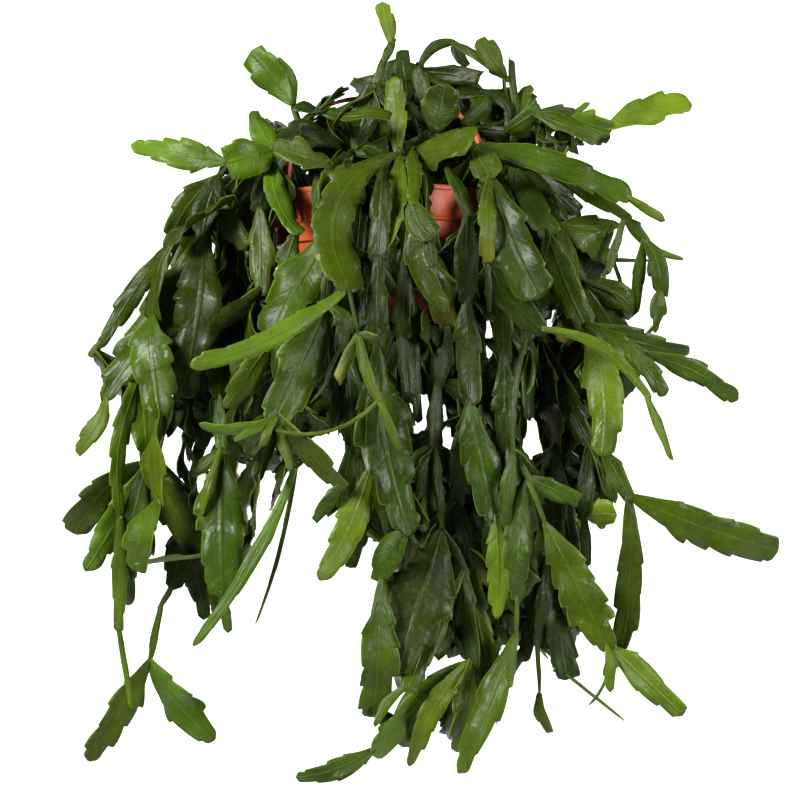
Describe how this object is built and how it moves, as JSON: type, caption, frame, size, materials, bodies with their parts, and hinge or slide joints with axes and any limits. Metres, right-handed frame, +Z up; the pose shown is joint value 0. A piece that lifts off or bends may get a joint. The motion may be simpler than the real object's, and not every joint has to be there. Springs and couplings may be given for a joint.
{
  "type": "potted rhipsalis",
  "caption": "Hanging pot of flat-stemmed rhipsalis whose scalloped green stems arch over the rim and trail down all round.",
  "frame": {"origin": "centre of the pot's flat underside", "axes": "+Z up along the pot's axis, -Y towards the front that the picture shows"},
  "size_m": [0.4128, 0.3224, 0.4542],
  "materials": {
    "terracotta_plastic": "satin moulded plastic",
    "potting_soil": "rough crumbly potting soil",
    "leaf_green": "glossy fleshy leaf"
  },
  "bodies": {
    "root": {"pot": "terracotta_plastic", "soil": "potting_soil", "hanger_arm_1": "terracotta_plastic", "hanger_arm_2": "terracotta_plastic", "hanger_arm_3": "terracotta_plastic", "hanger_hook": "terracotta_plastic", "stem_back_1": "leaf_green", "stem_back_10": "leaf_green", "stem_back_2": "leaf_green", "stem_back_3": "leaf_green", "stem_back_4": "leaf_green", "stem_back_5": "leaf_green", "stem_back_6": "leaf_green", "stem_back_7": "leaf_green", "stem_back_8": "leaf_green", "stem_back_9": "leaf_green", "stem_crown_1": "leaf_green", "stem_crown_2": "leaf_green", "stem_crown_3": "leaf_green", "stem_crown_4": "leaf_green", "stem_crown_left": "leaf_green", "stem_crown_mid": "leaf_green", "stem_crown_right": "leaf_green", "stem_front_left": "leaf_green", "stem_front_low": "leaf_green", "stem_front_mid": "leaf_green", "stem_front_round": "leaf_green", "stem_left_front": "leaf_green", "stem_left_high": "leaf_green", "stem_left_low": "leaf_green", "stem_left_mid": "leaf_green", "stem_left_needle": "leaf_green", "stem_low_mid": "leaf_green", "stem_mid": "leaf_green", "stem_mid_dark": "leaf_green", "stem_mid_left": "leaf_green", "stem_mid_right": "leaf_green", "stem_right_arch": "leaf_green", "stem_right_front": "leaf_green", "stem_right_inner": "leaf_green", "stem_right_low": "leaf_green", "stem_right_pale": "leaf_green", "stem_right_ribbed": "leaf_green"}
  },
  "joints": []
}
